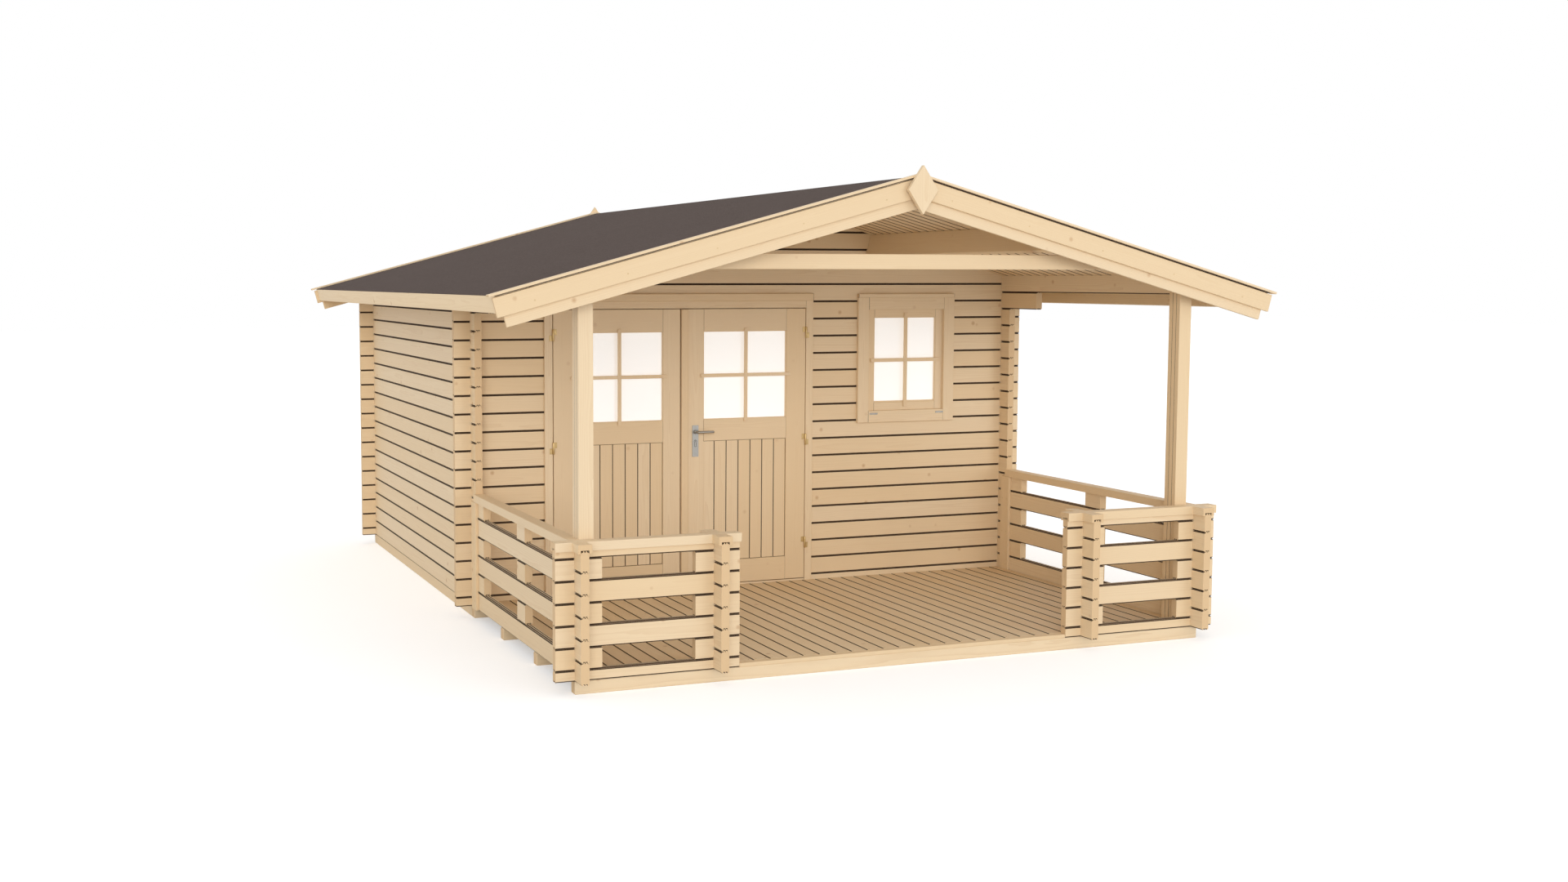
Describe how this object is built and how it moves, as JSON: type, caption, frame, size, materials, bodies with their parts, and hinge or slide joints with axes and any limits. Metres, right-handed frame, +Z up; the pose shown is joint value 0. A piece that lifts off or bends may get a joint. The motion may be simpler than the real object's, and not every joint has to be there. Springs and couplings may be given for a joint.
{
  "type": "garden house",
  "caption": "Log-built garden house with crossing corners, a double glazed door, a small window, a low felt-covered gable roof and a railed veranda under it.",
  "frame": {"origin": "middle of the bounding box on the ground, under the bearers", "axes": "+X to the right seen from the front, +Y towards the back of the house, +Z up; the door, window and veranda face -Y"},
  "size_m": [4.7364, 5.435, 2.6956],
  "materials": {
    "logs": "planed, untreated spruce",
    "boards": "planed, untreated spruce",
    "bearers": "rough planed spruce",
    "joinery": "fine planed spruce",
    "felt": "matt bitumen felt with mineral grains",
    "glass": "white satin glass, lets light through but no view",
    "fittings": "satin",
    "hinge_metal": "yellow zinc plated"
  },
  "bodies": {
    "house": {"side_bearers": "bearers", "cabin_bearers": "bearers", "deck_bearers": "bearers", "cabin_floor": "boards", "veranda_deck": "boards", "left_wall": "logs", "right_wall": "logs", "back_wall": "logs", "front_wall_left": "logs", "front_wall_right": "logs", "front_gable": "logs", "eaves_purlins": "logs", "middle_purlins": "logs", "tie_beam": "logs", "posts": "logs", "roof_boards_left": "boards", "roof_boards_right": "boards", "roofing_felt": "felt", "eaves_boards": "boards", "verge_inner": "boards", "verge_outer": "boards", "verge_laths": "boards", "gable_diamonds": "boards", "door_frame": "joinery", "frame_hinges": "hinge_metal", "window_casing": "joinery", "window_sash": "joinery", "window_pane": "glass", "left_railing": "logs", "right_railing": "logs", "front_railing_left": "logs", "front_railing_right": "logs", "railing_crossings": "logs", "side_handrails": "boards", "front_handrails": "boards", "railing_battens": "boards"},
    "left_door_leaf": {"left_leaf": "joinery", "left_pane": "glass", "left_hinges": "hinge_metal"},
    "right_door_leaf": {"right_leaf": "joinery", "right_pane": "glass", "right_hinges": "hinge_metal", "cover_strip": "joinery", "lock_plates": "fittings"},
    "lever": {"lever_handle": "fittings"}
  },
  "joints": [
    {"name": "left_door", "type": "hinge", "parent": "house", "child": "left_door_leaf", "pos_m": [-1.3885, -0.578, 1], "axis": [0, 0, -1], "range_deg": [0, 100]},
    {"name": "right_door", "type": "hinge", "parent": "house", "child": "right_door_leaf", "pos_m": [0.3615, -0.578, 1], "axis": [0, 0, 1], "range_deg": [0, 100]},
    {"name": "door_lever", "type": "hinge", "parent": "right_door_leaf", "child": "lever", "pos_m": [-0.427, -0.5505, 1.11], "axis": [0, 1, 0], "range_deg": [0, 40], "stiffness_Nm_per_rad": 1.5, "springref_deg": -17.19}
  ]
}
